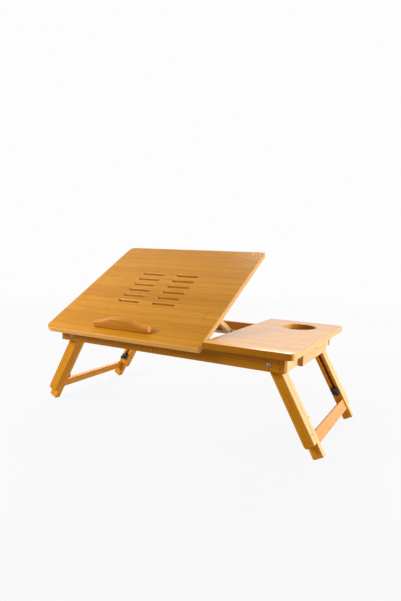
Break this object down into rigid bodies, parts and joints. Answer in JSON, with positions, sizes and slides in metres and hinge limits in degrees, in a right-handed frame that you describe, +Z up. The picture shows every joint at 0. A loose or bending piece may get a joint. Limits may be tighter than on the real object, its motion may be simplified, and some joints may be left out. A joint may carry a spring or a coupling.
{
  "type": "bed table",
  "caption": "Low bamboo bed table: flap tilted on a notched prop with a stop ledge, side panel with a cup hole, side drawer, and splayed folding legs that slide longer under wing knobs.",
  "frame": {"origin": "on the floor, under the middle of the table's outline", "axes": "+X to the side with the drawer, +Y to the raised edge of the flap, +Z up"},
  "size_m": [0.638, 0.3532, 0.3475],
  "materials": {
    "bamboo_top": "satin lacquer",
    "bamboo_strip": "satin lacquer",
    "bamboo_inner": "plain",
    "steel": "plated",
    "dark_steel": "dark plated",
    "brass": "plain",
    "knob_plastic": "black"
  },
  "bodies": {
    "frame": {"front_apron": "bamboo_strip", "rear_apron": "bamboo_strip", "left_apron": "bamboo_strip", "right_apron_front": "bamboo_strip", "right_apron_rear": "bamboo_strip", "side_panel": "bamboo_top", "cup_rest": "bamboo_inner", "divider": "bamboo_inner", "drawer_runner_front": "bamboo_inner", "drawer_runner_rear": "bamboo_inner", "rack_left": "bamboo_inner", "rack_right": "bamboo_inner", "apron_hinge_leaf_left": "steel", "apron_hinge_leaf_right": "steel", "flap_hinge_pin_left": "steel", "flap_hinge_pin_right": "steel", "pivot_bolt_left_front": "dark_steel", "pivot_bolt_left_rear": "dark_steel", "pivot_bolt_right_front": "dark_steel", "pivot_bolt_right_rear": "dark_steel"},
    "flap": {"flap": "bamboo_top", "flap_hinge_leaf_left": "steel", "flap_hinge_leaf_right": "steel", "prop_hinge_leaf_flap_left": "steel", "prop_hinge_leaf_flap_right": "steel", "prop_hinge_pin_left": "steel", "prop_hinge_pin_right": "steel"},
    "ledge": {"ledge": "bamboo_strip"},
    "prop": {"prop_arm_left": "bamboo_strip", "prop_arm_right": "bamboo_strip", "prop_top_bar": "bamboo_strip", "prop_foot_bar": "bamboo_strip", "prop_rod": "dark_steel", "prop_hinge_leaf_left": "steel", "prop_hinge_leaf_right": "steel"},
    "drawer": {"drawer_front": "bamboo_strip", "drawer_side_front": "bamboo_inner", "drawer_side_rear": "bamboo_inner", "drawer_back": "bamboo_inner", "drawer_bottom": "bamboo_inner"},
    "left_upper_legs": {"upper_leg_left_front": "bamboo_strip", "upper_leg_left_rear": "bamboo_strip", "insert_nut_left_front": "brass", "insert_nut_left_rear": "brass"},
    "left_lower_legs": {"lower_leg_left_front": "bamboo_strip", "lower_leg_left_rear": "bamboo_strip", "stretcher_left": "bamboo_strip"},
    "knob_left_front": {"wing_knob_left_front": "knob_plastic"},
    "knob_left_rear": {"wing_knob_left_rear": "knob_plastic"},
    "right_upper_legs": {"upper_leg_right_front": "bamboo_strip", "upper_leg_right_rear": "bamboo_strip", "insert_nut_right_front": "brass", "insert_nut_right_rear": "brass"},
    "right_lower_legs": {"lower_leg_right_front": "bamboo_strip", "lower_leg_right_rear": "bamboo_strip", "stretcher_right": "bamboo_strip"},
    "knob_right_front": {"wing_knob_right_front": "knob_plastic"},
    "knob_right_rear": {"wing_knob_right_rear": "knob_plastic"}
  },
  "joints": [
    {"name": "flap_tilt", "type": "hinge", "parent": "frame", "child": "flap", "pos_m": [-0.0865, -0.15234, 0.1766], "axis": [-1, 0, 0], "range_deg": [0, 29.4]},
    {"name": "prop_fold", "type": "hinge", "parent": "flap", "child": "prop", "pos_m": [-0.0865, -0.04605, 0.23649], "axis": [1, 0, 0], "range_deg": [0, 58.8]},
    {"name": "ledge_lift", "type": "slide", "parent": "flap", "child": "ledge", "axis": [0, -0.4909, 0.8712], "range_m": [0, 0.012]},
    {"name": "drawer_slide", "type": "slide", "parent": "frame", "child": "drawer", "axis": [1, 0, 0], "range_m": [0, 0.118]},
    {"name": "left_leg_fold", "type": "hinge", "parent": "frame", "child": "left_upper_legs", "pos_m": [-0.2238, 0.00156, 0.1611], "axis": [0, -1, 0], "range_deg": [0, 118.9]},
    {"name": "left_leg_extend", "type": "slide", "parent": "left_upper_legs", "child": "left_lower_legs", "axis": [0.4833, 0, 0.8755], "range_m": [-0.08, 0]},
    {"name": "knob_left_front_turn", "type": "hinge", "parent": "left_upper_legs", "child": "knob_left_front", "pos_m": [-0.28075, -0.10294, 0.05794], "axis": [0, 1, 0], "range_deg": [0, 180]},
    {"name": "knob_left_rear_turn", "type": "hinge", "parent": "left_upper_legs", "child": "knob_left_rear", "pos_m": [-0.28075, 0.10606, 0.05794], "axis": [0, -1, 0], "range_deg": [0, 180]},
    {"name": "right_leg_fold", "type": "hinge", "parent": "frame", "child": "right_upper_legs", "pos_m": [0.2238, 0.00156, 0.1611], "axis": [0, 1, 0], "range_deg": [0, 118.9]},
    {"name": "right_leg_extend", "type": "slide", "parent": "right_upper_legs", "child": "right_lower_legs", "axis": [-0.4833, 0, 0.8755], "range_m": [-0.08, 0]},
    {"name": "knob_right_front_turn", "type": "hinge", "parent": "right_upper_legs", "child": "knob_right_front", "pos_m": [0.28075, -0.10294, 0.05794], "axis": [0, 1, 0], "range_deg": [0, 180]},
    {"name": "knob_right_rear_turn", "type": "hinge", "parent": "right_upper_legs", "child": "knob_right_rear", "pos_m": [0.28075, 0.10606, 0.05794], "axis": [0, -1, 0], "range_deg": [0, 180]}
  ],
  "couplings": [
    {"joint": "prop_fold", "follows": "flap_tilt", "ratio": 2}
  ]
}
